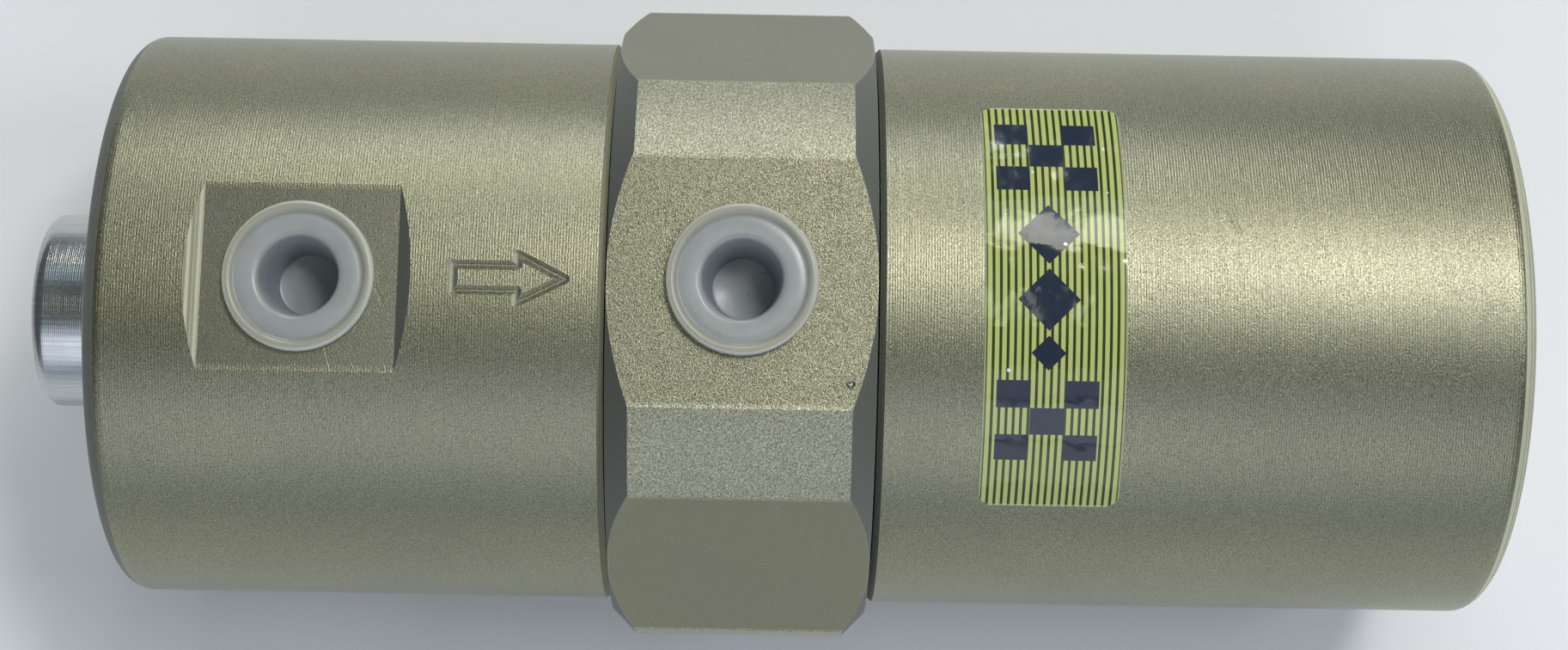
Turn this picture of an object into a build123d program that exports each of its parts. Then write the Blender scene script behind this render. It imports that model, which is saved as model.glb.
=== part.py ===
"""Two-stage compressed air filter, lying with both ports up.

Lengths are in millimetres. Every piece is drawn about the filter's own axis, which runs
along X, with X = 0 at the middle of the hexagon and Z = 0 on the axis. The last step
moves the whole filter so that it rests at Z = 0 on the wrench flat opposite the ports,
with the origin under the middle of its length.
"""
import math
import os

from build123d import *

# ---------------------------------------------------------------- driving dimensions
# outside
body_diameter = 80.0
hex_across_flats = 83.5
hex_corner_rise = 3.25
hex_length = 35.5
hex_end_chamfer = 3.2
housing_length = 69.0
bowl_length = 87.0
end_edge_radius = 3.0
joint_gap = 0.35
joint_bevel = 0.8

# screwed joints between the hex body and the two pressure shells
shell_thread_radius = 33.0
shell_thread_pitch = 2.0
shell_thread_depth = 0.9
spigot_length = 18.0
seal_land_step = 1.5
seal_land_length = 7.0
seal_groove_start = 1.2
seal_groove_width = 4.4
o_ring_section = 3.0
backup_ring_thickness = 1.2
thread_relief_length = 2.5
thread_lead_chamfer = 1.0

# chambers inside the shells
sump_ledge = 4.0
sump_depth = 3.2
drain_wall = 12.0
cartridge_chamber_radius = 28.5
bowl_end_wall = 11.0
chamber_corner_radius = 2.0

# ports, both facing up
inlet_port_from_end = 28.4
port_thread_radius = 5.72
port_relief_step = 0.93
port_relief_depth = 5.2
outlet_thread_length = 11.5
outlet_drill_radius = 4.2
outlet_drill_depth = 7.0
clean_air_drill_radius = 3.2
port_pocket_depth = 2.0
port_pocket_length = 25.8

# engraved flow arrow
arrow_from_joint = 5.15
arrow_length = 14.7
arrow_shaft_length = 8.4
arrow_shaft_half_width = 1.7
arrow_head_half_width = 3.2
arrow_groove_half_width = 0.66
arrow_groove_floor_half_width = 0.11
arrow_groove_depth = 0.5

# port caps
cap_flange_radius = 10.0
cap_flange_thickness = 1.1
cap_rim_width = 1.4
cap_rim_height = 0.4
cap_side_gap = 0.45
cap_draft = 1.25
cap_depth = 5.0
cap_wall = 0.75

# drain plug and its bonded washer
drain_thread_radius = 8.0
drain_thread_pitch = 1.5
drain_thread_depth = 0.7
drain_thread_length = 10.5
drain_neck_length = 2.6
drain_head_radius = 13.9
drain_head_height = 11.7
drain_head_edge_radius = 2.0
drain_key_across_flats = 12.0
drain_key_depth = 7.0
washer_thickness = 2.0
washer_outer_radius = 12.6
washer_inner_radius = 9.4
washer_lip_radius = 8.3

# separator stage, on the hollow tie tube
tie_tube_radius = 6.0
tie_tube_bore_radius = 3.5
tie_tube_engagement = 11.0
tie_tube_end_play = 1.2
tie_tube_to_baffle = 1.3
tie_hole_radius = 1.4
tie_hole_count = 4
tie_hole_rows = 4
element_outer_radius = 17.5
element_wall = 5.0
element_air_gap = 5.0
gasket_thickness = 1.2
separator_cap_thickness = 3.0
separator_cap_rim = 1.0
separator_nut_across_flats = 17.0
separator_nut_thickness = 4.8
baffle_thickness = 1.0
baffle_middle_hole_radius = 3.0
baffle_hole_radius = 2.6
baffle_hole_count = 6
baffle_hole_circle = 14.0

# cartridge stage
nipple_radius = 10.0
nipple_length = 9.0
nipple_bore_radius = 5.5
nipple_groove_width = 2.4
nipple_o_ring_section = 1.8
cartridge_lift = 1.0
cartridge_air_gap = 2.1
cartridge_flange_step = 0.6
cartridge_shell_wall = 0.8
cartridge_flange_thickness = 1.3
cartridge_hub_length = 8.3
screen_thickness = 1.0
screen_hole_radius = 0.9
screen_hole_pitch = 5.2
outer_felt_thickness = 3.0
middle_felt_thickness = 2.0
carbon_part_of_fill = 0.48
cartridge_end_thickness = 5.2
cartridge_exit_radius = 2.6
cartridge_exit_count = 8
cartridge_exit_circle = 16.0
spring_seat_thickness = 0.8
spring_seat_radius = 17.0
spring_length = 9.25
spring_radius = 13.5
spring_wire_radius = 0.9
spring_turns = 2.5

# label film on the bowl
label_from_hex = 14.0
label_width = 18.7
label_thickness = 0.15
label_angle_up = 40.1
label_angle_down = 43.8
label_corner_radius = 2.0

# clearances
running_clearance = 0.08
seat_clearance = 0.05
free_clearance = 0.3

# ---------------------------------------------------------------- places worked out
body_radius = body_diameter / 2
flat_height = hex_across_flats / 2
hex_half = hex_length / 2
spigot_end = hex_half + spigot_length
housing_open_end = -(hex_half + joint_gap)
housing_far_end = -(hex_half + housing_length)
bowl_open_end = hex_half + joint_gap
bowl_far_end = hex_half + bowl_length
chamber_start = spigot_end + thread_relief_length
sump_floor = housing_far_end + drain_wall
baffle_ledge = sump_floor + sump_depth
bowl_floor = bowl_far_end - bowl_end_wall
inlet_port_x = housing_far_end + inlet_port_from_end
drain_face = housing_far_end - washer_thickness - 2 * seat_clearance - drain_head_height
filter_middle = (drain_face + bowl_far_end) / 2

hex_corner_radius = flat_height + hex_corner_rise
seal_land_radius = shell_thread_radius + seal_land_step
port_relief_radius = port_thread_radius + port_relief_step
cap_mouth_radius = port_relief_radius - cap_side_gap - cap_wall
cap_floor_radius = cap_mouth_radius - cap_draft
separator_chamber_radius = element_outer_radius + element_air_gap
sump_radius = separator_chamber_radius - sump_ledge
element_inner_radius = element_outer_radius - element_wall
port_pocket_floor = body_radius - port_pocket_depth
baffle_start = baffle_ledge + free_clearance / 3
element_length = (
    -spigot_end - baffle_start - baffle_thickness - tie_tube_to_baffle - tie_tube_end_play
    - separator_nut_thickness - separator_cap_thickness - 2 * gasket_thickness
)
cartridge_flange_radius = cartridge_chamber_radius - cartridge_air_gap
cartridge_radius = cartridge_flange_radius - cartridge_flange_step
cartridge_start = spigot_end + cartridge_lift
fill_length = (
    bowl_floor - spring_length - spring_seat_thickness - free_clearance - cartridge_end_thickness
    - 2 * screen_thickness - 2 * outer_felt_thickness - middle_felt_thickness
    - cartridge_hub_length - cartridge_start
)
carbon_bed_length = carbon_part_of_fill * fill_length
drying_bed_length = fill_length - carbon_bed_length


# ---------------------------------------------------------------- drawing helpers
def turned(points):
    """A solid turned about the filter's axis from (x, radius) points."""
    outline = Polyline(*points, close=True)
    return revolve(Plane.XZ * make_face(outline), Axis.X)


def ring(x_start, x_end, outer, inner):
    """A plain ring or disc between two places along the axis."""
    return turned([(x_start, inner), (x_end, inner), (x_end, outer), (x_start, outer)])


def rod(x_start, x_end, radius):
    """A plain round bar along the axis."""
    low = min(x_start, x_end)
    return Pos(low, 0, 0) * Rot(0, 90, 0) * Cylinder(radius, abs(x_end - x_start), align=FROM_BASE)


def upright(x, z_low, z_high, radius):
    """A round bar standing up, square to the filter's axis."""
    return Pos(x, 0, z_low) * Cylinder(radius, z_high - z_low, align=FROM_BASE)


def around_axis(x, circle_radius, count, first_angle=0.0):
    """Places on a circle about the axis, each turned to face its own way out."""
    step = 360.0 / count
    return [Pos(x, 0, 0) * Rot(first_angle + step * i, 0, 0) * Pos(0, 0, circle_radius)
            for i in range(count)]


def thread_grooves(first, last, crest, pitch, depth):
    """V grooves cut inwards from a male thread's crests."""
    half = 0.42 * pitch
    grooves = []
    for i in range(int(abs(last - first) / pitch)):
        x = min(first, last) + pitch * (i + 0.5)
        outside = crest + running_clearance
        slope = half * outside / crest
        grooves.append(turned([(x - slope, outside), (x + slope, outside), (x, crest - depth)]))
    return grooves


def bore_grooves(first, last, crest, pitch, depth):
    """V grooves cut outwards from a female thread's crests."""
    half = 0.42 * pitch
    grooves = []
    for i in range(int(abs(last - first) / pitch)):
        x = min(first, last) + pitch * (i + 0.5)
        inside = crest - running_clearance
        grooves.append(turned([(x - half, inside), (x + half, inside), (x, crest + depth)]))
    return grooves


FROM_BASE = (Align.CENTER, Align.CENTER, Align.MIN)


# ---------------------------------------------------------------- hex body
def spigot(side):
    """One threaded spigot, with the groove for the joint's seals; side is -1 or +1."""
    land = seal_land_radius - running_clearance
    crest = shell_thread_radius - running_clearance
    groove_floor = land - o_ring_section
    start = hex_half - 1.0
    groove = hex_half + seal_groove_start
    step = hex_half + seal_land_length
    profile = [
        (start, 0), (start, land), (groove, land), (groove, groove_floor),
        (groove + seal_groove_width, groove_floor), (groove + seal_groove_width, land),
        (step - 0.6, land), (step, crest), (spigot_end - thread_lead_chamfer, crest),
        (spigot_end, crest - thread_lead_chamfer), (spigot_end, 0),
    ]
    solid = turned([(side * x, r) for x, r in profile])
    first = side * (step + 0.5)
    last = side * (spigot_end - thread_lead_chamfer)
    return solid - thread_grooves(first, last, crest, shell_thread_pitch, shell_thread_depth)


def make_hex_body():
    """Hexagon with turned corners, two spigots, the cartridge nipple and all air ways."""
    section = Plane.YZ * RegularPolygon(flat_height, 6, major_radius=False)
    hexagon = extrude(section, hex_half, both=True)
    corner = hex_corner_radius
    blank = turned([
        (-hex_half, 0), (-hex_half, corner - hex_end_chamfer), (-hex_half + hex_end_chamfer, corner),
        (hex_half - hex_end_chamfer, corner), (hex_half, corner - hex_end_chamfer), (hex_half, 0),
    ])
    solid = (hexagon & blank) + spigot(-1) + spigot(1)
    nipple_end = spigot_end + nipple_length
    solid += turned([
        (spigot_end - 1, 0), (spigot_end - 1, nipple_radius), (nipple_end - 0.8, nipple_radius),
        (nipple_end, nipple_radius - 0.8), (nipple_end, 0),
    ])
    solid -= nipple_groove()
    solid -= rod(-spigot_end - 1, -spigot_end + tie_tube_engagement, tie_tube_radius + running_clearance)
    solid -= rod(-spigot_end, nipple_end + 1, nipple_bore_radius)
    thread_floor = flat_height - port_relief_depth - outlet_thread_length
    drill_floor = thread_floor - outlet_drill_depth
    solid -= upright(0, flat_height - port_relief_depth, flat_height + 1, port_relief_radius)
    solid -= upright(0, thread_floor, flat_height, port_thread_radius)
    solid -= upright(0, drill_floor, thread_floor + 1, outlet_drill_radius)
    clean_air_height = drill_floor + clean_air_drill_radius + 0.4
    solid -= Pos(0, 0, clean_air_height) * rod(0, spigot_end + 1, clean_air_drill_radius)
    return solid


def nipple_groove():
    """The ring groove for the cartridge seal."""
    middle = spigot_end + nipple_length / 2
    half = nipple_groove_width / 2
    floor = nipple_radius - nipple_o_ring_section
    return ring(middle - half, middle + half, nipple_radius + 1, floor)


# ---------------------------------------------------------------- pressure shells
def shell_mouth(side):
    """The hollow that takes a spigot: seal land, thread and the relief behind it."""
    lead = hex_half + joint_gap
    land_end = hex_half + seal_land_length + 0.3
    relief_radius = shell_thread_radius + shell_thread_depth + 0.2
    profile = [
        (lead - 1, 0), (lead - 1, seal_land_radius + 1), (lead, seal_land_radius + 1),
        (lead + 1, seal_land_radius), (land_end, seal_land_radius), (land_end, shell_thread_radius),
        (spigot_end - 0.5, shell_thread_radius), (spigot_end - 0.5, relief_radius),
        (chamber_start, relief_radius), (chamber_start, 0),
    ]
    hollow = turned([(side * x, r) for x, r in profile])
    grooves = bore_grooves(
        side * (land_end + 0.4), side * (spigot_end - 0.5), shell_thread_radius,
        shell_thread_pitch, shell_thread_depth,
    )
    return [hollow] + grooves


def shell_blank(open_end, far_end):
    """A round bar with a bevel at the joint and a rounded edge at the far end."""
    bar = rod(open_end, far_end, body_radius)
    edges = bar.edges().filter_by(GeomType.CIRCLE).sort_by(Axis.X)
    open_edge, far_edge = (edges[0], edges[-1]) if open_end < far_end else (edges[-1], edges[0])
    bar = chamfer(open_edge, joint_bevel)
    edges = bar.edges().filter_by(GeomType.CIRCLE).sort_by(Axis.X)
    far_edge = edges[-1] if open_end < far_end else edges[0]
    return fillet(far_edge, end_edge_radius)


def arrow_cutter():
    """The path of a tapered cutter round the flow arrow's outline, following the round surface."""
    tip = housing_open_end - arrow_from_joint
    tail = tip - arrow_length
    shoulder = tail + arrow_shaft_length
    outline = [
        (tail, arrow_shaft_half_width), (shoulder, arrow_shaft_half_width),
        (shoulder, arrow_head_half_width), (tip, 0.0),
        (shoulder, -arrow_head_half_width), (shoulder, -arrow_shaft_half_width),
        (tail, -arrow_shaft_half_width),
    ]
    above = 0.4
    height = arrow_groove_depth + above
    floor_radius = arrow_groove_floor_half_width
    top_radius = floor_radius + (arrow_groove_half_width - floor_radius) * height / arrow_groove_depth
    bottoms = [Vector(x, y, math.sqrt(body_radius ** 2 - y ** 2) - arrow_groove_depth) for x, y in outline]
    cutters = []
    for i, start in enumerate(bottoms):
        end = bottoms[(i + 1) % len(bottoms)]
        run = end - start
        cutters.append(Pos(*start) * Cone(floor_radius, top_radius, height, align=FROM_BASE))
        across = Plane(origin=start, z_dir=run, x_dir=Vector(0, 0, 1))
        corners = (0, floor_radius), (height, top_radius), (height, -top_radius), (0, -floor_radius)
        section = make_face(Polyline(*corners, close=True))
        cutters.append(extrude(across * section, run.length))
    return cutters


def make_inlet_housing():
    """First-stage shell: mouth, separator chamber, sump, drain thread, port pocket and arrow."""
    solid = shell_blank(housing_open_end, housing_far_end)
    solid -= shell_mouth(-1)
    solid -= rod(-chamber_start + 1, baffle_ledge, separator_chamber_radius)
    solid -= turned([
        (baffle_ledge + 1, 0), (baffle_ledge + 1, sump_radius), (sump_floor + 1.5, sump_radius),
        (sump_floor, drain_thread_radius + 2), (sump_floor, 0),
    ])
    solid -= rod(sump_floor + 1, housing_far_end - 1, drain_thread_radius)
    solid -= bore_grooves(
        sump_floor + 0.8, housing_far_end + 1.2, drain_thread_radius, drain_thread_pitch, drain_thread_depth,
    )
    solid -= turned([
        (housing_far_end - 1, 0), (housing_far_end - 1, drain_thread_radius + 1.8),
        (housing_far_end + 0.8, drain_thread_radius), (housing_far_end + 0.8, 0),
    ])
    rise = body_radius - port_pocket_floor + 3
    half = port_pocket_length / 2
    pocket = make_face(Polyline((-half, 0), (half, 0), (half + rise, rise), (-half - rise, rise), close=True))
    solid -= Pos(inlet_port_x, 0, port_pocket_floor) * extrude(Plane.XZ * pocket, body_radius, both=True)
    relief_floor = port_pocket_floor - port_relief_depth
    solid -= upright(inlet_port_x, relief_floor, body_radius, port_relief_radius)
    solid -= upright(inlet_port_x, separator_chamber_radius - 4, body_radius, port_thread_radius)
    return solid - arrow_cutter()


def make_filter_bowl():
    """Second-stage shell: mouth and cartridge chamber."""
    solid = shell_blank(bowl_open_end, bowl_far_end)
    solid -= shell_mouth(1)
    chamber = rod(chamber_start - 1, bowl_floor, cartridge_chamber_radius)
    floor_edge = chamber.edges().filter_by(GeomType.CIRCLE).sort_by(Axis.X)[-1]
    return solid - fillet(floor_edge, chamber_corner_radius)


# ---------------------------------------------------------------- joint seals
def joint_seals(side, name):
    """The ring and back-up ring in one spigot's groove."""
    land = seal_land_radius - seat_clearance
    section = o_ring_section / 2 - seat_clearance
    first = hex_half + seal_groove_start + seat_clearance
    centre = first + backup_ring_thickness + o_ring_section / 2 + seat_clearance
    floor = seal_land_radius - running_clearance - o_ring_section + seat_clearance
    backup = ring(side * first, side * (first + backup_ring_thickness), land - 0.1, floor)
    o_ring = Pos(side * centre, 0, 0) * Rot(0, 90, 0) * Torus(land - section, section)
    return {name + "_o_ring": o_ring, name + "_backup_ring": backup}


# ---------------------------------------------------------------- ports and plug
def make_port_cap(x, seat):
    """A push-in cap: a wide flange with a raised rim and a tapered cup in the port."""
    top = cap_flange_thickness
    rim = cap_flange_radius - cap_rim_width
    wall_top = cap_mouth_radius + cap_wall
    cup_floor = top - cap_depth
    half_profile = [
        (0, cup_floor), (cap_floor_radius, cup_floor), (cap_mouth_radius - 0.25, top - 0.5),
        (cap_mouth_radius, top - 0.12), (cap_mouth_radius + 0.3, top), (rim - 0.3, top),
        (rim, top + cap_rim_height), (cap_flange_radius - 0.3, top + cap_rim_height),
        (cap_flange_radius, top + cap_rim_height - 0.3), (cap_flange_radius, 0.2),
        (cap_flange_radius - 0.2, 0), (wall_top, 0), (cap_floor_radius + cap_wall, cup_floor - cap_wall + 0.4),
        (cap_floor_radius + cap_wall - 0.4, cup_floor - cap_wall), (0, cup_floor - cap_wall),
    ]
    face = Plane.XZ * make_face(Polyline(*half_profile, close=True))
    return Pos(x, 0, seat + seat_clearance) * revolve(face, Axis.Z)


def make_drain_plug():
    """Round-headed plug with a key socket, a neck for the washer and a threaded shank."""
    crest = drain_thread_radius - running_clearance
    under_head = drain_face + drain_head_height
    neck_end = under_head + drain_neck_length
    shank_end = under_head + washer_thickness + drain_thread_length
    solid = turned([
        (drain_face, 0), (drain_face, drain_head_radius), (under_head - 0.4, drain_head_radius),
        (under_head, drain_head_radius - 0.4), (under_head, crest - 1), (neck_end, crest - 1),
        (neck_end + 0.6, crest), (shank_end - 0.8, crest), (shank_end, crest - 0.8), (shank_end, 0),
    ])
    outer_edge = solid.edges().filter_by(GeomType.CIRCLE).sort_by(Axis.X)[0]
    solid = fillet(outer_edge, drain_head_edge_radius)
    solid -= thread_grooves(neck_end + 0.7, shank_end - 0.8, crest, drain_thread_pitch, drain_thread_depth)
    socket = extrude(Plane.YZ * RegularPolygon(drain_key_across_flats / 2, 6, major_radius=False),
                     drain_key_depth)
    solid -= Pos(drain_face, 0, 0) * socket
    corner = drain_key_across_flats / math.sqrt(3)
    return solid - Pos(drain_face, 0, 0) * turned([(-1, 0), (-1, corner + 1.2), (1.0, corner - 0.8), (1.0, 0)])


def make_drain_washer():
    """The bonded washer: a steel ring with a rubber lip inside it."""
    start = drain_face + drain_head_height + seat_clearance
    end = start + washer_thickness
    middle = (start + end) / 2
    steel = ring(start, end, washer_outer_radius, washer_inner_radius)
    lip = turned([
        (start + 0.1, washer_inner_radius), (start + 0.1, washer_inner_radius - 0.3),
        (middle, washer_lip_radius), (end - 0.1, washer_inner_radius - 0.3), (end - 0.1, washer_inner_radius),
    ])
    return {"drain_seal_ring": steel, "drain_seal_lip": lip}


# ---------------------------------------------------------------- separator stage
def separator_places():
    """Where each piece of the separator stack starts, going away from the hex body."""
    places = [-spigot_end]
    for thickness in (gasket_thickness, element_length, gasket_thickness, separator_cap_thickness,
                      separator_nut_thickness):
        places.append(places[-1] - thickness)
    return places


def make_separator():
    """The sintered sleeve with its gaskets, end cap and nut, and the tie tube that holds them."""
    gasket, element, far_gasket, cap, nut, nut_end = separator_places()
    slip = tie_tube_radius + running_clearance
    parts = {
        "separator_gasket": ring(gasket, element, element_outer_radius, element_inner_radius - 1),
        "separator_element": ring(element, far_gasket, element_outer_radius, element_inner_radius),
        "separator_cap_gasket": ring(far_gasket, cap, element_outer_radius, element_inner_radius - 1),
    }
    rim = element_outer_radius + separator_cap_rim
    end_cap = turned([
        (cap, slip), (nut, slip), (nut, rim - 1), (nut + 1, rim), (far_gasket + 0.6, rim),
        (far_gasket + 0.6, element_outer_radius + 0.15), (cap, element_outer_radius + 0.15),
    ])
    parts["separator_end_cap"] = end_cap
    hexagon = Plane.YZ * RegularPolygon(separator_nut_across_flats / 2, 6, major_radius=False)
    nut_solid = Pos(nut_end, 0, 0) * extrude(hexagon, separator_nut_thickness)
    corner = separator_nut_across_flats / math.sqrt(3)
    flat = separator_nut_across_flats / 2
    nut_solid &= turned([
        (nut_end, 0), (nut_end, flat - 0.2), (nut_end + 1.0, corner), (nut - 0.6, corner), (nut, flat + 0.4),
        (nut, 0),
    ])
    parts["separator_nut"] = nut_solid - rod(nut_end - 1, nut + 1, slip)
    tube_end = nut_end - tie_tube_end_play
    tube_start = -spigot_end + tie_tube_engagement - free_clearance
    tube = turned([
        (tube_start, tie_tube_bore_radius), (tube_start, tie_tube_radius),
        (tube_end + 0.6, tie_tube_radius), (tube_end, tie_tube_radius - 0.6),
        (tube_end, 0), (tube_end + 2.5, 0), (tube_end + 2.5, tie_tube_bore_radius),
    ])
    first = element - element_length / tie_hole_rows / 2
    for row in range(tie_hole_rows):
        x = first - row * element_length / tie_hole_rows
        for place in around_axis(x, 0, tie_hole_count, row * 45.0):
            tube -= place * Cylinder(tie_hole_radius, tie_tube_radius + 1, align=FROM_BASE)
    parts["separator_tube"] = tube
    return parts


def make_condensate_baffle():
    """A loose plate with drip holes that lies over the sump."""
    plate = ring(baffle_start, baffle_start + baffle_thickness,
                 separator_chamber_radius - running_clearance, baffle_middle_hole_radius)
    for place in around_axis(baffle_start - 1, baffle_hole_circle, baffle_hole_count):
        plate -= place * Rot(0, 90, 0) * Cylinder(baffle_hole_radius, baffle_thickness + 2, align=FROM_BASE)
    return plate


# ---------------------------------------------------------------- cartridge stage
def cartridge_places():
    """Where each layer of the cartridge starts, going away from the hex body."""
    places = [cartridge_start + cartridge_hub_length]
    for thickness in (screen_thickness, outer_felt_thickness, drying_bed_length, middle_felt_thickness,
                      carbon_bed_length, outer_felt_thickness, screen_thickness):
        places.append(places[-1] + thickness)
    return places


def make_screen(start):
    """A perforated disc, with its holes on a square pattern inside a circle."""
    radius = cartridge_radius - cartridge_shell_wall - seat_clearance
    disc = ring(start, start + screen_thickness, radius, 0)
    reach = int(radius / screen_hole_pitch)
    holes = []
    for i in range(-reach, reach + 1):
        for j in range(-reach, reach + 1):
            y, z = i * screen_hole_pitch, j * screen_hole_pitch
            if math.hypot(y, z) < radius - 3:
                holes.append(Pos(0, y, z) * rod(start - 1, start + screen_thickness + 1, screen_hole_radius))
    return disc - holes


def make_cartridge():
    """The filter cartridge, from the socket end to the exit end."""
    screen, felt, drying, middle, carbon, last_felt, last_screen, end = cartridge_places()
    start = cartridge_start
    flange_end = start + cartridge_flange_thickness
    inside = cartridge_radius - cartridge_shell_wall
    fill = inside - seat_clearance
    far_end = end + cartridge_end_thickness
    socket = nipple_radius + running_clearance
    inlet_cap = turned([
        (start, socket + 0.8), (start + 0.8, socket), (screen, socket), (screen, fill),
        (flange_end, fill), (flange_end, cartridge_flange_radius), (start + 0.4, cartridge_flange_radius),
        (start, cartridge_flange_radius - 0.4),
    ])
    outlet_cap = turned([
        (end, 0), (end, fill), (far_end - 1.5, fill), (far_end - 1.5, cartridge_radius),
        (far_end - 0.4, cartridge_radius), (far_end, cartridge_radius - 0.4), (far_end, 0),
    ])
    for place in around_axis(end - 1, cartridge_exit_circle, cartridge_exit_count):
        bore = Cylinder(cartridge_exit_radius, cartridge_end_thickness + 2, align=FROM_BASE)
        outlet_cap -= place * Rot(0, 90, 0) * bore
    return {
        "cartridge_inlet_cap": inlet_cap,
        "cartridge_shell": ring(flange_end + 0.02, far_end - 1.52, cartridge_radius, inside),
        "cartridge_inlet_screen": make_screen(screen),
        "cartridge_inlet_felt": ring(felt, drying, fill, 0),
        "drying_bed": ring(drying, middle, fill, 0),
        "cartridge_middle_felt": ring(middle, carbon, fill, 0),
        "carbon_bed": ring(carbon, last_felt, fill, 0),
        "cartridge_outlet_felt": ring(last_felt, last_screen, fill, 0),
        "cartridge_outlet_screen": make_screen(last_screen),
        "cartridge_outlet_cap": outlet_cap,
    }


def make_cartridge_o_ring():
    """The seal in the nipple's groove."""
    section = nipple_o_ring_section / 2
    middle = spigot_end + nipple_length / 2
    centre = nipple_radius + running_clearance - seat_clearance / 2 - section
    return Pos(middle, 0, 0) * Rot(0, 90, 0) * Torus(centre, section)


def make_cartridge_spring():
    """The compression spring behind the cartridge and the loose disc that it bears on."""
    seat_start = cartridge_places()[-1] + cartridge_end_thickness + free_clearance
    seat_end = seat_start + spring_seat_thickness
    seat = ring(seat_start, seat_end, spring_seat_radius, 6.0)
    low = seat_end + spring_wire_radius + 0.05
    high = bowl_floor - spring_wire_radius - 0.1
    coil_height = high - low
    path = Helix(coil_height / spring_turns, coil_height, spring_radius)
    section = Plane(origin=path @ 0, z_dir=path % 0) * Circle(spring_wire_radius)
    coil = sweep(section, path=path)
    return {"spring_seat": seat, "cartridge_spring": Pos(low, 0, 0) * Rot(0, 90, 0) * coil}


# ---------------------------------------------------------------- label
def make_label():
    """A thin film with rounded corners, wrapped round the bowl."""
    start = hex_half + label_from_hex
    strip = Plane.XZ * make_face(Polyline(
        (start, body_radius), (start + label_width, body_radius),
        (start + label_width, body_radius + label_thickness), (start, body_radius + label_thickness),
        close=True))
    film = revolve(strip, Axis.X, label_angle_up + label_angle_down)
    film = Rot(-label_angle_up, 0, 0) * film
    corners = film.edges().filter_by(lambda edge: abs(edge.length - label_thickness) < 0.01)
    return fillet(corners, label_corner_radius)


# ---------------------------------------------------------------- the whole filter
def make_parts():
    """Every piece by its node name, drawn about the filter's axis."""
    parts = {
        "hex_body": make_hex_body(),
        "inlet_housing": make_inlet_housing(),
        "filter_bowl": make_filter_bowl(),
        "label": make_label(),
        "drain_plug": make_drain_plug(),
        "inlet_port_cap": make_port_cap(inlet_port_x, port_pocket_floor),
        "outlet_port_cap": make_port_cap(0, flat_height),
        "condensate_baffle": make_condensate_baffle(),
        "cartridge_o_ring": make_cartridge_o_ring(),
    }
    parts.update(joint_seals(-1, "housing"))
    parts.update(joint_seals(1, "bowl"))
    parts.update(make_drain_washer())
    parts.update(make_separator())
    parts.update(make_cartridge())
    parts.update(make_cartridge_spring())
    return parts


def write_parts():
    """Move every piece to its place in the part's frame and write its STEP file."""
    os.makedirs("parts", exist_ok=True)
    to_frame = Pos(-filter_middle, 0, flat_height)
    for name, solid in make_parts().items():
        export_step(to_frame * solid, f"parts/{name}.step")
    print("hexagon middle at X", -filter_middle, "axis at Z", flat_height)
    print("inlet port at X", inlet_port_x - filter_middle)


write_parts()
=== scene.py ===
"""Looks for the compressed air filter: procedural finishes, two moulded port caps and a stage."""
import math

import bpy
from bpy.props import FloatProperty, FloatVectorProperty, IntProperty, PointerProperty
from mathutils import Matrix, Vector


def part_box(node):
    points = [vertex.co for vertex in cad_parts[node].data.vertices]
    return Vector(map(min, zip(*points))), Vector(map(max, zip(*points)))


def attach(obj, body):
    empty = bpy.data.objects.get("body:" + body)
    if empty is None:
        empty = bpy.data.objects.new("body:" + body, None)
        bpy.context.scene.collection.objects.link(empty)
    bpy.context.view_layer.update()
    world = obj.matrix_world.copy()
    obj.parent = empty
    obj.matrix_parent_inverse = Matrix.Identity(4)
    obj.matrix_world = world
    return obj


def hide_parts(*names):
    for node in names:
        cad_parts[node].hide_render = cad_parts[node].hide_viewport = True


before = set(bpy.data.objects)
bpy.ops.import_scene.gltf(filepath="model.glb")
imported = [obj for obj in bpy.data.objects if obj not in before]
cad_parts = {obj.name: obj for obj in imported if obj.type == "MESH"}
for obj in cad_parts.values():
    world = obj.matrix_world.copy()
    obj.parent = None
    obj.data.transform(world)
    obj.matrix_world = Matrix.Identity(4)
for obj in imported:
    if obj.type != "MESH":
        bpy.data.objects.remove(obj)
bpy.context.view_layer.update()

bl_info = {
    "name": "Compressed Air Filter Looks",
    "version": (1, 0, 0),
    "blender": (4, 5, 0),
    "location": "View3D > Sidebar > Air Filter",
    "description": "Finishes, moulded port caps and a stage for an inline air filter",
    "category": "Object",
}

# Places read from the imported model, in metres.
BOWL_LOW, BOWL_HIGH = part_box("filter_bowl")
HEX_LOW, HEX_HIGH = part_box("hex_body")
LABEL_LOW, LABEL_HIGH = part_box("label")
INLET_CAP_LOW, INLET_CAP_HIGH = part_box("inlet_port_cap")
OUTLET_CAP_LOW, OUTLET_CAP_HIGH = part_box("outlet_port_cap")
AXIS_HEIGHT = (HEX_LOW.z + HEX_HIGH.z) / 2
BODY_RADIUS = (BOWL_HIGH.z - BOWL_LOW.z) / 2
HEX_CORNER = HEX_HIGH.y
INLET_X = (INLET_CAP_LOW.x + INLET_CAP_HIGH.x) / 2
OUTLET_X = (OUTLET_CAP_LOW.x + OUTLET_CAP_HIGH.x) / 2
MM = 0.001
PORT_BORE_RADIUS = 5.9 * MM
LABEL_THICKNESS = 0.15 * MM
NICK_PLACE = (0.0122, -0.0134, HEX_HIGH.z)

# The anodised skin: grain size in metres, and how much paler or darker its areas are.
GRAIN_SIZE = 0.00016
SKIN_LIGHT, SKIN_DARK = 1.5, 0.5
HEXAGON_TONE = 0.86
TURNED_DOWN_TINT = (1.5, 1.5, 1.58, 1.0)

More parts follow.
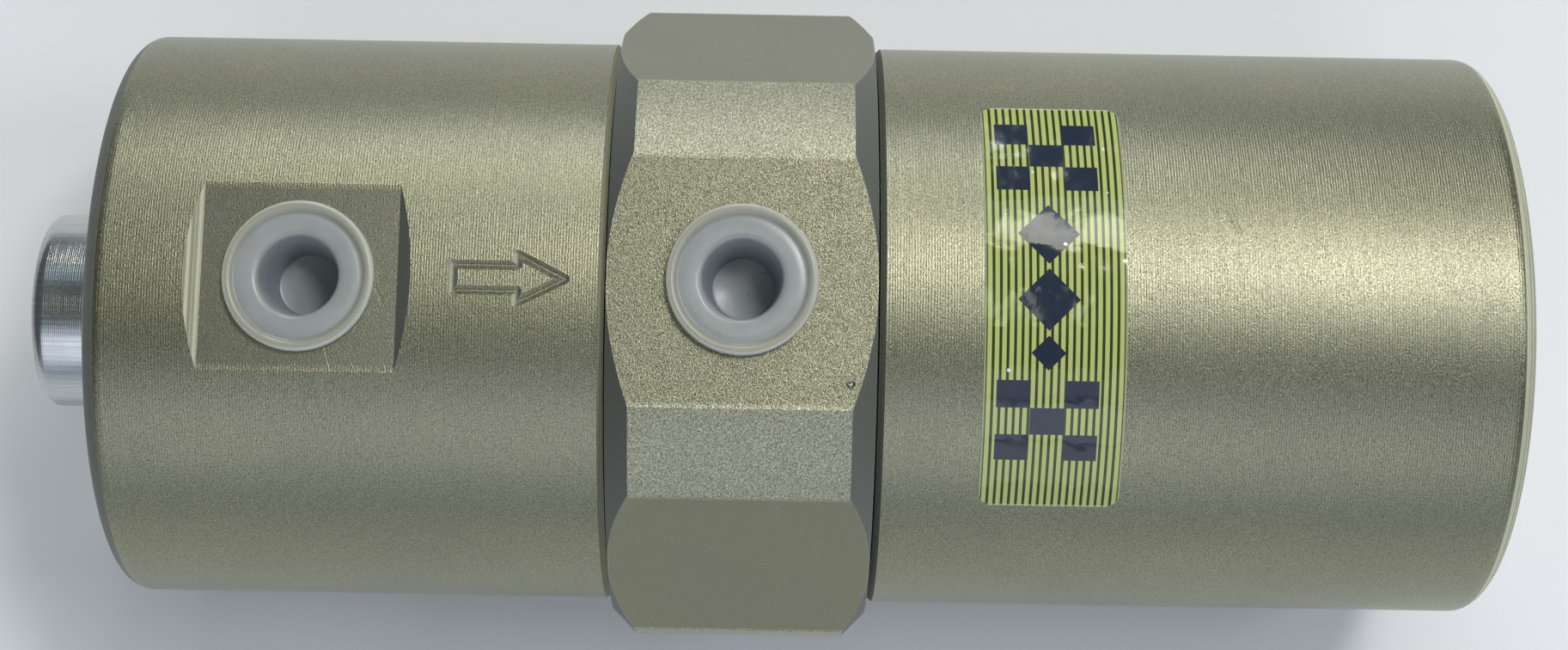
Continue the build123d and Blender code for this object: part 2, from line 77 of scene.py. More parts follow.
# Rings on a port cap, in metres out from its port's axis.
CAP_MOAT_RADIUS = 0.00845
CAP_RIM_RADIUS = 0.0087
CAP_LIP_RADIUS = 0.00985

# Fixed tones of the finishes.
LABEL_FLECK = (0.8, 0.82, 0.8, 1.0)
# Pale edge tone of the zinc plate: partly wear, partly a painted edge highlight.
ZINC_EDGE_WEAR_AND_HIGHLIGHT = (0.86, 0.88, 0.9, 1.0)
RUBBER_BLOOM = (0.10, 0.10, 0.098, 1.0)
SHEET_DARK, SHEET_LIGHT = (0.46, 0.46, 0.45, 1.0), (0.70, 0.70, 0.69, 1.0)
# Pale edge tone of the sheet: partly wear, partly a painted edge highlight.
SHEET_EDGE_WEAR_AND_HIGHLIGHT = (0.85, 0.85, 0.84, 1.0)
WIRE_DARK, WIRE_LIGHT = (0.24, 0.235, 0.23, 1.0), (0.46, 0.455, 0.45, 1.0)

# A plain chequer and three diamonds on the label, in mm: places from its left edge, and round the
# bowl from its top line. A diamond is (from the left edge, round, half its width).
CHEQUER_COLUMNS = ((1.7, 6.2), (6.2, 10.7), (10.7, 15.2))
CHEQUER_ROWS = ((20.9, 24.6), (17.2, 20.9), (13.5, 17.2),
                (-15.9, -12.2), (-19.6, -15.9), (-23.3, -19.6))
LABEL_BLOCKS = [(*column, *row) for at, row in enumerate(CHEQUER_ROWS)
                for step, column in enumerate(CHEQUER_COLUMNS) if (at % 3 + step) % 2 == 0]
LABEL_DIAMONDS = [(8.45, 7.2, 4.1), (8.45, -1.6, 4.1), (8.45, -8.6, 2.3)]

# The moulded cap's section in mm: out from the port's axis, and up from its seat.
CAP_OUTLINE = [
    (0.0, -8.86), (3.7, -8.86), (4.05, -8.72), (4.2, -8.4), (5.2, 0.30), (5.36, 0.78),
    (5.62, 1.00), (6.1, 1.09), (7.2, 1.10), (8.0, 1.04), (8.35, 0.92), (8.62, 1.02),
    (8.82, 1.32), (9.15, 1.47), (9.55, 1.46), (9.85, 1.28), (9.97, 0.95), (9.97, 0.35),
    (9.82, 0.12), (9.55, 0.03), (6.22, 0.03), (6.1, -0.12), (5.95, -1.2), (5.0, -9.2),
    (4.6, -9.6), (1.2, -9.64), (0.0, -9.64),
]
CAP_CLEARANCE = 0.02 * MM


# ------------------------------------------------------------------ node helpers


class Graph:
    """Adds nodes to one node tree and joins them."""

    def __init__(self, tree):
        self.tree = tree

    def add(self, kind, **settings):
        node = self.tree.nodes.new(kind)
        for key, value in settings.items():
            setattr(node, key, value)
        return node

    def put(self, socket, value):
        if isinstance(value, bpy.types.NodeSocket):
            self.tree.links.new(value, socket)
        else:
            socket.default_value = value

    def maths(self, operation, *values, clamp=False):
        node = self.add("ShaderNodeMath", operation=operation, use_clamp=clamp)
        for socket, value in zip(node.inputs, values):
            self.put(socket, value)
        return node.outputs[0]

    def total(self, first, *others):
        for other in others:
            first = self.maths("ADD", first, other)
        return first

    def product(self, first, *others):
        for other in others:
            first = self.maths("MULTIPLY", first, other)
        return first

    def remap(self, value, low, high, to_low=0.0, to_high=1.0):
        node = self.add("ShaderNodeMapRange")
        for key, number in (("Value", value), ("From Min", low), ("From Max", high),
                            ("To Min", to_low), ("To Max", to_high)):
            self.put(node.inputs[key], number)
        return node.outputs[0]

    def blend(self, factor, first, second, mode="MIX"):
        """Mixes two colours; the Mix node keeps its colours at inputs 6 and 7 and output 2."""
        node = self.add("ShaderNodeMix", data_type="RGBA", blend_type=mode)
        self.put(node.inputs[0], factor)
        self.put(node.inputs[6], first)
        self.put(node.inputs[7], second)
        return node.outputs[2]

    def blend_value(self, factor, first, second):
        """Mixes two numbers, which the Mix node takes at inputs 2 and 3."""
        node = self.add("ShaderNodeMix", data_type="FLOAT")
        for index, value in ((0, factor), (2, first), (3, second)):
            self.put(node.inputs[index], value)
        return node.outputs[0]

    def vector(self, x=0.0, y=0.0, z=0.0):
        node = self.add("ShaderNodeCombineXYZ")
        for socket, value in zip(node.inputs, (x, y, z)):
            self.put(socket, value)
        return node.outputs[0]

    def split(self, vector):
        node = self.add("ShaderNodeSeparateXYZ")
        self.put(node.inputs[0], vector)
        return node.outputs[0], node.outputs[1], node.outputs[2]

    def noise(self, vector, scale=1.0, detail=2.0, roughness=0.5, distortion=0.0):
        node = self.add("ShaderNodeTexNoise")
        self.put(node.inputs["Vector"], vector)
        for key, value in (("Scale", scale), ("Detail", detail), ("Roughness", roughness),
                           ("Distortion", distortion)):
            self.put(node.inputs[key], value)
        return node.outputs["Fac"]

    def cells(self, vector, scale, feature="F1", randomness=1.0):
        node = self.add("ShaderNodeTexVoronoi", feature=feature)
        self.put(node.inputs["Vector"], vector)
        self.put(node.inputs["Scale"], scale)
        self.put(node.inputs["Randomness"], randomness)
        return node.outputs["Distance"], node.outputs["Color"] if feature == "F1" else None

    def near(self, value, middle, half_width, soft):
        """1 where value is within half_width of middle, falling to 0 over soft."""
        away = self.maths("ABSOLUTE", self.maths("SUBTRACT", value, middle))
        return self.remap(away, half_width - soft / 2, half_width + soft / 2, 1.0, 0.0)

    def object_place(self):
        return self.add("ShaderNodeTexCoord").outputs["Object"]

    def group(self, name, **values):
        node = self.add("ShaderNodeGroup", node_tree=bpy.data.node_groups[name])
        for key, value in values.items():
            self.put(node.inputs[key.replace("_", " ")], value)
        return node.outputs


def start_group(name, inputs, outputs):
    """A new shader node group; inputs are (name, default, lowest, highest), outputs are names."""
    tree = bpy.data.node_groups.new(name, "ShaderNodeTree")
    for label, default, low, high in inputs:
        kind = "NodeSocketVector" if isinstance(default, tuple) else "NodeSocketFloat"
        socket = tree.interface.new_socket(name=label, in_out="INPUT", socket_type=kind)
        socket.default_value = default
        if kind == "NodeSocketFloat":
            socket.min_value, socket.max_value = low, high
    for label in outputs:
        kind = "NodeSocketVector" if label == "Unrolled" else "NodeSocketFloat"
        tree.interface.new_socket(name=label, in_out="OUTPUT", socket_type=kind)
    graph = Graph(tree)
    return graph, graph.add("NodeGroupInput").outputs, graph.add("NodeGroupOutput").inputs


# ------------------------------------------------------------------ shared effects


def build_round_the_axis():
    """Where a point lies about the filter's own axis: along it, out from it, and round it."""
    graph, given, out = start_group(
        "Round the axis", [("Axis Height", AXIS_HEIGHT, -1.0, 1.0)],
        ["Along", "Radius", "Angle", "End Face", "Unrolled"])
    place = graph.add("ShaderNodeTexCoord")
    x, y, z = graph.split(place.outputs["Object"])
    up = graph.maths("SUBTRACT", z, given["Axis Height"])
    radius = graph.maths("SQRT", graph.total(graph.product(y, y), graph.product(up, up)))
    angle = graph.maths("ARCTAN2", y, up)
    facing = graph.maths("ABSOLUTE", graph.split(place.outputs["Normal"])[0])
    end_face = graph.remap(facing, 0.62, 0.78)
    graph.put(out["Along"], x)
    graph.put(out["Radius"], radius)
    graph.put(out["Angle"], angle)
    graph.put(out["End Face"], end_face)
    graph.put(out["Unrolled"], graph.vector(x, graph.product(angle, BODY_RADIUS), radius))


def build_turning_marks():
    """Fine feed lines of a lathe tool, broken into beads: rings on a barrel, circles on an end."""
    graph, given, out = start_group(
        "Turning marks", [("Pitch", 0.0004, 0.00001, 0.01), ("Waver", 1.4, 0.0, 20.0)],
        ["Height", "Tone"])
    place = graph.group("Round the axis")
    track = graph.blend_value(place["End Face"], place["Along"], place["Radius"])
    step = graph.maths("DIVIDE", track, given["Pitch"])
    sweep = graph.product(place["Angle"], given["Waver"])
    wander = graph.noise(graph.vector(graph.product(step, 0.31), sweep, 3.1), 1.0, 1.0)
    wandering = graph.total(step, graph.product(wander, 1.3))
    wave = graph.maths("SINE", graph.product(wandering, 2 * math.pi))
    beads = graph.noise(graph.vector(step, graph.product(place["Angle"], 150.0), 0.0), 1.0, 1.0)
    fine = graph.total(0.5, graph.product(wave, graph.remap(beads, 0.35, 0.65, 0.03, 0.5)))
    graph.put(out["Height"], graph.total(graph.product(fine, 0.8), graph.product(wander, 0.2)))
    graph.put(out["Tone"], graph.total(graph.product(fine, 0.85), graph.product(wander, 0.15)))


def build_grain():
    """The pebbled grain of a blasted and anodised skin."""
    graph, given, out = start_group(
        "Blasted grain", [("Size", 0.0004, 0.00001, 0.01), ("Stretch", 1.0, 0.2, 5.0)],
        ["Height", "Speckle"])
    place = graph.group("Round the axis")
    x, around, radius = graph.split(place["Unrolled"])
    spot = graph.vector(
        graph.maths("DIVIDE", x, given["Size"]),
        graph.maths("DIVIDE", around, graph.product(given["Size"], given["Stretch"])),
        graph.maths("DIVIDE", radius, given["Size"]))
    worms = graph.noise(spot, 0.9, 1.0, 0.5, 0.9)
    pits = graph.noise(spot, 1.9, 0.0, 0.5)
    graph.put(out["Height"], graph.total(graph.product(worms, 0.8), graph.product(pits, 0.2)))
    graph.put(out["Speckle"],
              graph.remap(graph.total(worms, graph.product(pits, 0.5)), 0.57, 0.93))


def build_handling():
    """Slow cloudiness of handled metal, with a few hair scratches."""
    graph, given, out = start_group(
        "Handling", [("Scale", 40.0, 0.1, 1000.0)], ["Smudge", "Scratch"])
    place = graph.object_place()
    cloud = graph.noise(place, given["Scale"], 4.0, 0.6, 0.3)
    x, y, z = graph.split(place)
    slanted = graph.vector(graph.total(graph.product(x, 700.0), graph.product(y, 260.0)),
                           graph.total(graph.product(y, 36.0), graph.product(x, -14.0)),
                           graph.product(z, 60.0))
    hair = graph.maths("ABSOLUTE", graph.maths("SUBTRACT", graph.noise(slanted, 0.5, 1.0), 0.5))
    sparse = graph.remap(graph.noise(place, 95.0, 1.0), 0.6, 0.68)
    graph.put(out["Smudge"], cloud)
    graph.put(out["Scratch"],
              graph.product(graph.remap(hair, 0.0, 0.006, 1.0, 0.0), sparse))


def build_worn_and_highlighted_edges():
    """A mask along outer edges, where a coating is thin and handled bright, and where a painted
    edge highlight goes.
    """
    graph, given, out = start_group(
        "Worn and highlighted edges", [("Width", 0.0005, 0.0, 0.01), ("Break Up", 900.0, 1.0, 10000.0)],
        ["Edge"])
    rounded = graph.add("ShaderNodeBevel", samples=6)
    graph.put(rounded.inputs["Radius"], given["Width"])
    plain = graph.add("ShaderNodeNewGeometry")
    likeness = graph.add("ShaderNodeVectorMath", operation="DOT_PRODUCT")
    graph.put(likeness.inputs[0], rounded.outputs["Normal"])
    graph.put(likeness.inputs[1], plain.outputs["Normal"])
    bend = graph.remap(likeness.outputs["Value"], 0.995, 0.86)
    broken = graph.noise(graph.object_place(), given["Break Up"], 3.0)
    worn = graph.remap(broken, 0.3, 0.6, 0.35, 1.0)
    # The edges this mask marks are painted paler: partly wear, partly a painted highlight.
    graph.put(out["Edge"], graph.product(bend, worn))


def build_port_thread():
    """Helical thread form in the two port bores."""
    graph, given, out = start_group(
        "Port thread", [("Pitch", 0.001337, 0.0001, 0.01)], ["Height", "Inside"])
    x, y, z = graph.split(graph.object_place())
    nearer = graph.maths("LESS_THAN", x, (INLET_X + OUTLET_X) / 2)
    middle = graph.blend_value(nearer, OUTLET_X, INLET_X)
    across = graph.maths("SUBTRACT", x, middle)
    out_from = graph.maths("SQRT", graph.total(graph.product(across, across), graph.product(y, y)))
    turn = graph.maths("DIVIDE", graph.maths("ARCTAN2", y, across), 2 * math.pi)
    climb = graph.maths("SUBTRACT", graph.maths("DIVIDE", z, given["Pitch"]), turn)
    wave = graph.maths("PINGPONG", climb, 0.5)
    high_up = graph.maths("GREATER_THAN", z, AXIS_HEIGHT + 10 * MM)
    in_bore = graph.remap(out_from, PORT_BORE_RADIUS + 0.1 * MM, PORT_BORE_RADIUS - 0.1 * MM)
    inside = graph.product(in_bore, high_up)
    graph.put(out["Height"], graph.product(wave, inside))
    graph.put(out["Inside"], inside)


def build_shared_effects():
    build_round_the_axis()
    build_turning_marks()
    build_grain()
    build_handling()
    build_worn_and_highlighted_edges()
    build_port_thread()


# ------------------------------------------------------------------ materials


def start_material(name):
    """A new material with a Principled shader; gives the material, its graph and the shader."""
    made = bpy.data.materials.new(name)
    made.use_nodes = True
    graph = Graph(made.node_tree)
    shader = next(node for node in made.node_tree.nodes if node.type == "BSDF_PRINCIPLED")
    return made, graph, shader


def settle(graph, shader, **values):
    for key, value in values.items():
        graph.put(shader.inputs[key.replace("_", " ")], value)


def bump(graph, shader, height, depth, strength=1.0):
    """Feeds a height, in fractions of depth, to the shader's normal."""
    node = graph.add("ShaderNodeBump")
    graph.put(node.inputs["Height"], height)
    node.inputs["Strength"].default_value = strength
    node.inputs["Distance"].default_value = depth
    graph.put(shader.inputs["Normal"], node.outputs["Normal"])


def colour(rgb, scale=1.0):
    return (*[min(1.0, channel * scale) for channel in rgb], 1.0)


def anodised_areas(graph, place, part):
    """Masks of a shell: grained, ring-marked, bevelled, pocket floor, turned down, and cut slopes
    facing +X, which take a painted highlight.
    """
    normal = graph.add("ShaderNodeTexCoord").outputs["Normal"]
    facing_x, _, facing_up = graph.split(normal)
    sideways = graph.maths("ABSOLUTE", facing_x)
    bevel = graph.product(graph.remap(sideways, 0.3, 0.42),
                          graph.remap(sideways, 0.9, 0.97, 1.0, 0.0))
    areas = {"grained": 1.0, "ringed": 1.0, "bevel": bevel, "pocket": 0.0, "turned_down": 0.0,
             "cut": 0.0}
    if part == "hexagon":
        round_face = graph.remap(place["Radius"], HEX_CORNER - 0.3 * MM, HEX_CORNER - 0.1 * MM)
        port_face = graph.remap(graph.maths("ABSOLUTE", facing_up), 0.9, 0.98)
        blasted = graph.maths("MAXIMUM", round_face, port_face)
        areas.update(grained=graph.remap(blasted, 0.0, 1.0, 0.22, 1.0),
                     ringed=graph.remap(port_face, 0.0, 1.0, 0.8, 0.1), turned_down=round_face)
        return areas
    # Painted highlight mask: the cut slopes that face +X, towards the lights on the right.
    areas["cut"] = graph.remap(facing_x, -0.2, 0.4)
    if part == "housing":
        inside = graph.remap(place["Radius"], BODY_RADIUS - 0.3 * MM, BODY_RADIUS - 0.05 * MM,
                             1.0, 0.0)
        pocket = graph.product(inside, graph.remap(facing_up, 0.9, 0.99))
        areas.update(grained=graph.remap(pocket, 0.0, 1.0, 1.0, 0.7),
                     ringed=graph.remap(pocket, 0.0, 1.0, 1.0, 0.1), pocket=pocket)
    return areas


def nicked(graph):
    """A small ragged dent on the port face, near its lower outlet corner."""
    away = graph.add("ShaderNodeVectorMath", operation="DISTANCE")
    graph.put(away.inputs[0], graph.object_place())
    graph.put(away.inputs[1], NICK_PLACE)
    ragged = graph.product(graph.noise(graph.object_place(), 2200.0, 1.0), 0.0005)
    return graph.remap(graph.total(away.outputs["Value"], ragged), 0.0004, 0.0008, 1.0, 0.0)


def anodised_material(name, looks, part, grain_share, turning_share, speckle, rough, anisotropy):
    """Hard anodised aluminium: olive skin, blasted grain and turning marks, thin at its edges,
    where it is painted paler as wear and as a highlight.
    """
    made, graph, shader = start_material(name)
    place = graph.group("Round the axis")
    grain = graph.group("Blasted grain", Size=GRAIN_SIZE, Stretch=1.25)
    turned = graph.group("Turning marks", Pitch=looks.turning_pitch)
    hands = graph.group("Handling", Scale=38.0)
    edges = graph.group("Worn and highlighted edges", Width=0.00045)
    thread = graph.group("Port thread")
    areas = anodised_areas(graph, place, part)
    bevel = areas["bevel"]
    height = graph.total(graph.product(grain["Height"], areas["grained"], grain_share),
                         graph.product(turned["Height"], areas["ringed"], turning_share),
                         graph.product(hands["Scratch"], -0.12),
                         graph.product(thread["Height"], 40.0))

    # The skin itself: speckled by the grain, ringed by the lathe, clouded by hands.
    tone = HEXAGON_TONE if part == "hexagon" else 1.0
    speck = graph.product(graph.maths("SUBTRACT", grain["Speckle"], 0.5), areas["grained"], speckle)
    rings = graph.product(graph.maths("SUBTRACT", turned["Tone"], 0.5), areas["ringed"],
                          turning_share * 0.7)
    skin = graph.blend(graph.total(0.5, speck, rings),
                       colour(looks.anodised_colour, SKIN_DARK * tone),
                       colour(looks.anodised_colour, SKIN_LIGHT * tone))
    cloudy = graph.remap(hands["Smudge"], 0.3, 0.7, 0.0, 0.2)
    skin = graph.blend(cloudy, skin, colour(looks.anodised_shade))

    # Areas that were cut differently, and a painted highlight on the cut slopes that face +X.
    paler = graph.blend(1.0, skin, TURNED_DOWN_TINT, "MULTIPLY")
    skin = graph.blend(areas["turned_down"], skin, paler)
    skin = graph.blend(graph.product(areas["pocket"], 0.5), skin, colour(looks.pocket_colour))
    # Cut slopes facing +X get a pale cut-metal tone with cutter lines, much brighter than slopes
    # facing -X: partly the cut metal, mostly a painted highlight of the light from the right.
    lines_at = graph.vector(graph.product(place["Along"], 2600.0), 0.0, 0.0)
    cutter_lines = graph.noise(lines_at, 1.0, 1.0)
    slope_highlight_tone = graph.blend(graph.remap(cutter_lines, 0.42, 0.58),
                        colour(looks.cut_slope_highlight_colour, 0.55), colour(looks.cut_slope_highlight_colour, 1.2))
    sloped = graph.blend(areas["cut"], colour(looks.bevel_colour), slope_highlight_tone)
    skin = graph.blend(graph.product(bevel, 0.75), skin, sloped)

    # Wear with a painted highlight on the edges, and painted shade in the port bores.
    # Edges blend to the pale worn-metal tone: partly wear, partly a painted edge highlight.
    skin = graph.blend(graph.product(edges["Edge"], 0.4), skin, colour(looks.worn_metal_and_edge_highlight))
    if part == "hexagon":
        nick = nicked(graph)
        height = graph.total(height, graph.product(nick, -2.5))
        skin = graph.blend(graph.product(nick, 0.7), skin, colour(looks.worn_metal_and_edge_highlight))
    skin = graph.blend(graph.product(hands["Scratch"], 0.14), skin, colour(looks.worn_metal_and_edge_highlight))
    # Painted shade: the port bores are darkened towards the dark skin tone.
    skin = graph.blend(graph.product(thread["Inside"], 0.35), skin,
                       colour(looks.anodised_colour, SKIN_DARK))
    roughness = graph.total(
        rough, graph.product(graph.maths("SUBTRACT", hands["Smudge"], 0.5), 0.12),
        graph.product(graph.maths("SUBTRACT", grain["Speckle"], 0.5), 0.06),
        graph.product(edges["Edge"], -0.08), graph.product(bevel, 0.2))
    settle(graph, shader, Base_Color=skin, Metallic=graph.remap(bevel, 0.0, 1.0, 1.0, 0.5),
           Roughness=roughness, Anisotropic=anisotropy, Anisotropic_Rotation=0.25,
           Coat_Weight=0.12, Coat_Roughness=0.35, Coat_IOR=1.6)
    if anisotropy:
        tangent = graph.add("ShaderNodeTangent", direction_type="RADIAL", axis="X")
        graph.put(shader.inputs["Tangent"], tangent.outputs[0])
    bump(graph, shader, height, looks.grain_depth)
    return made


def label_material(looks):
    """Glossy printed film: stripes round the bowl, with a plain chequer and diamonds over them.

    All its places are in mm: across from the left edge, and arc from the bowl's top line.
    """
    made, graph, shader = start_material("label_film")
    place = graph.group("Round the axis")
    here = graph.object_place()
    across = graph.product(graph.maths("SUBTRACT", place["Along"], LABEL_LOW.x), 1.0 / MM)
    arc = graph.product(place["Angle"], BODY_RADIUS / MM)
    half_width = (LABEL_HIGH.x - LABEL_LOW.x) / MM / 2
    top, bottom = (math.asin(edge / (BODY_RADIUS + LABEL_THICKNESS)) * BODY_RADIUS / MM
                   for edge in (LABEL_HIGH.y, LABEL_LOW.y))
    middle, half_arc = (top + bottom) / 2, (top - bottom) / 2

    step = graph.maths("DIVIDE", graph.total(across, 0.28), looks.stripe_pitch)
    stripe = graph.near(graph.maths("FRACT", step), 0.5, 0.20, 0.08)
    from_middle = graph.maths("ABSOLUTE", graph.maths("SUBTRACT", across, half_width))
    round_from_middle = graph.maths("ABSOLUTE", graph.maths("SUBTRACT", arc, middle))
    paper_edge = graph.maths(
        "MAXIMUM", graph.remap(from_middle, half_width - 0.28, half_width - 0.18),
        graph.remap(round_from_middle, half_arc - 0.3, half_arc - 0.2))
    ink = 0.0
    for left, right, low, high in LABEL_BLOCKS:
        block = graph.product(graph.near(across, (left + right) / 2, (right - left) / 2, 0.05),
                              graph.near(arc, (low + high) / 2, (high - low) / 2, 0.05))
        ink = graph.maths("MAXIMUM", ink, block)
    for along, around, half in LABEL_DIAMONDS:
        reach = graph.total(graph.maths("ABSOLUTE", graph.maths("SUBTRACT", across, along)),
                            graph.maths("ABSOLUTE", graph.maths("SUBTRACT", arc, around)))
        ink = graph.maths("MAXIMUM", ink, graph.near(reach, half / 2, half / 2, 0.06))

    noise = graph.noise(here, 900.0, 3.0)
    printed = graph.blend(graph.remap(noise, 0.3, 0.7, 0.0, 0.25), colour(looks.label_colour),
                          colour(looks.label_colour, 0.82))
    printed = graph.blend(stripe, printed, colour(looks.stripe_colour))
    printed = graph.blend(ink, printed, colour(looks.ink_colour))
    rim = graph.remap(place["Radius"], BODY_RADIUS + 0.10 * MM, BODY_RADIUS + 0.13 * MM, 1.0, 0.0)
    pale = graph.maths("MAXIMUM", graph.product(paper_edge, 0.55), rim)
    printed = graph.blend(pale, printed, colour(looks.label_edge_colour))
    flecks = graph.remap(graph.noise(here, 620.0, 1.0), 0.785, 0.80)
    printed = graph.blend(flecks, printed, LABEL_FLECK)
    ripple = graph.total(graph.noise(here, 150.0, 2.0), graph.product(noise, 0.05))
    settle(graph, shader, Base_Color=printed, Metallic=0.0, IOR=1.52,
           Roughness=graph.remap(graph.noise(here, 260.0, 2.0), 0.3, 0.7, 0.05, 0.13))
    bump(graph, shader, ripple, 0.00022)
    return made


def cap_material(name, looks, middle_x, seat_height):
    """Milky polyethylene: cloudy and pale on its ring, clearer over its rim, with painted shade
    down in its cup and in its groove, and a painted highlight on its lip.
    """
    made, graph, shader = start_material(name)
    place = graph.object_place()
    x, y, z = graph.split(place)
    across = graph.maths("SUBTRACT", x, middle_x)
    out_from = graph.maths("SQRT", graph.total(graph.product(across, across), graph.product(y, y)))
    # Painted shade mask: darker the deeper down in the cup.
    deep = graph.remap(graph.maths("SUBTRACT", seat_height, z), -0.0008, 0.0035)
    rim = graph.remap(out_from, CAP_MOAT_RADIUS, CAP_RIM_RADIUS)
    lip = graph.near(out_from, CAP_LIP_RADIUS, 0.00022, 0.0002)
    moat = graph.near(out_from, CAP_MOAT_RADIUS, 0.00022, 0.0003)
    cloud = graph.noise(place, 330.0, 3.0)
    fine = graph.noise(place, 2600.0, 2.0)
    ribs = graph.maths("PINGPONG", graph.maths("DIVIDE", z, 0.00065), 1.0)
    milk = graph.blend(graph.remap(cloud, 0.3, 0.7), colour(looks.cap_colour, 0.94),
                       colour(looks.cap_colour, 1.04))
    milk = graph.blend(rim, milk, colour(looks.cap_rim_colour))
    # Painted shade: a darker ring in the groove at the foot of the lip.
    milk = graph.blend(graph.product(moat, 0.4), milk, colour(looks.cap_colour, 0.55))
    # Painted highlight: a bright line along the outer edge of the lip.
    milk = graph.blend(graph.product(lip, 0.8), milk, colour(looks.cap_lip_highlight_colour))
    milk = graph.blend(deep, milk, colour(looks.cap_cup_shade_colour))
    settle(graph, shader, Base_Color=milk, Metallic=0.0, IOR=1.5, Transmission_Weight=0.35,
           Roughness=graph.remap(cloud, 0.3, 0.7, 0.26, 0.34), Specular_IOR_Level=0.5)
    height = graph.total(graph.product(cloud, 0.6), graph.product(fine, 0.01),
                         graph.product(ribs, deep, 0.5))
    bump(graph, shader, height, 0.00006)
    return made


def zinc_material(name, looks, rough):
    """Bright zinc plate over turned steel, faintly streaked."""
    made, graph, shader = start_material(name)
    turned = graph.group("Turning marks", Pitch=0.0003)
    place = graph.group("Round the axis")
    hands = graph.group("Handling", Scale=90.0)
    edges = graph.group("Worn and highlighted edges", Width=0.0004)
    streaks_at = graph.vector(graph.product(place["Along"], 60.0),
                              graph.product(place["Angle"], 34.0), 0.0)
    streak = graph.noise(streaks_at, 1.0, 3.0)
    tone = graph.blend(graph.remap(streak, 0.32, 0.68), colour(looks.zinc_colour, 0.84),
                       colour(looks.zinc_colour, 1.12))
    # Painted edge highlight, partly wear: edges blend to a paler zinc.
    tone = graph.blend(graph.product(edges["Edge"], 0.5), tone, ZINC_EDGE_WEAR_AND_HIGHLIGHT)
    smeared = graph.product(graph.maths("SUBTRACT", hands["Smudge"], 0.5), 0.22)
    roughness = graph.total(rough, smeared, graph.product(hands["Scratch"], 0.1))
    settle(graph, shader, Base_Color=tone, Metallic=1.0, Roughness=roughness)
    height = graph.total(graph.product(turned["Height"], 0.8), graph.product(hands["Smudge"], 1.2))
    bump(graph, shader, height, 0.00002)
    return made


def turned_metal_material(name, rgb, rough, pitch=0.0005, depth=0.00003):
    """Bare metal straight from the lathe."""
    made, graph, shader = start_material(name)
    turned = graph.group("Turning marks", Pitch=pitch)
    hands = graph.group("Handling", Scale=60.0)
    edges = graph.group("Worn and highlighted edges", Width=0.0003)
    tone = graph.blend(turned["Tone"], colour(rgb, 0.84), colour(rgb, 1.08))
    tone = graph.blend(graph.remap(hands["Smudge"], 0.35, 0.75, 0.0, 0.35), tone,
                       colour(rgb, 0.68))
    # Painted edge highlight, partly wear: edges blend to a paler tone of the metal.
    tone = graph.blend(graph.product(edges["Edge"], 0.5), tone, colour(rgb, 1.25))
    smeared = graph.product(graph.maths("SUBTRACT", hands["Smudge"], 0.5), 0.2)
    settle(graph, shader, Base_Color=tone, Metallic=1.0, Roughness=graph.total(rough, smeared))
    bump(graph, shader, turned["Height"], depth)
    return made


def rubber_material(looks):
    """Black nitrile: matt, faintly dusty, with a bloom."""
    made, graph, shader = start_material("seal_rubber")
    place = graph.object_place()
    bloom = graph.noise(place, 160.0, 4.0, 0.65)
    fine = graph.noise(place, 3800.0, 2.0)
    tone = graph.blend(graph.remap(bloom, 0.42, 0.75, 0.0, 0.55), colour(looks.rubber_colour),
                       RUBBER_BLOOM)
    settle(graph, shader, Base_Color=tone, Metallic=0.0,
           Roughness=graph.remap(bloom, 0.3, 0.7, 0.42, 0.66))
    bump(graph, shader, fine, 0.00003)
    return made


def plastic_material(name, rgb, rough, depth=0.00004):
    """Plain filled plastic or fibre board, mottled."""
    made, graph, shader = start_material(name)
    place = graph.object_place()
    mottle = graph.noise(place, 700.0, 4.0, 0.65, 0.8)
    fine = graph.noise(place, 4200.0, 2.0)
    tone = graph.blend(graph.remap(mottle, 0.3, 0.7), colour(rgb, 0.8), colour(rgb, 1.12))
    uneven = graph.product(graph.maths("SUBTRACT", fine, 0.5), 0.2)
    settle(graph, shader, Base_Color=tone, Metallic=0.0, Roughness=graph.total(rough, uneven))
    bump(graph, shader, graph.total(fine, mottle), depth)
    return made


def sheet_material():
    """Rolled stainless sheet: straight rolling lines and brighter punched edges, partly wear and
    partly a painted highlight.
    """
    made, graph, shader = start_material("stainless_sheet")
    x, y, z = graph.split(graph.object_place())
    lines_at = graph.vector(graph.product(z, 2400.0), graph.product(y, 90.0),
                            graph.product(x, 400.0))
    rolled = graph.noise(lines_at, 1.0, 3.0)
    hands = graph.group("Handling", Scale=70.0)
    edges = graph.group("Worn and highlighted edges", Width=0.0003)
    tone = graph.blend(graph.remap(rolled, 0.3, 0.7), SHEET_DARK, SHEET_LIGHT)
    # Painted edge highlight, partly wear: edges blend to a paler steel.
    tone = graph.blend(graph.product(edges["Edge"], 0.5), tone, SHEET_EDGE_WEAR_AND_HIGHLIGHT)
    settle(graph, shader, Base_Color=tone, Metallic=1.0,
           Roughness=graph.remap(hands["Smudge"], 0.3, 0.7, 0.26, 0.42))
    bump(graph, shader, rolled, 0.00002)
    return made


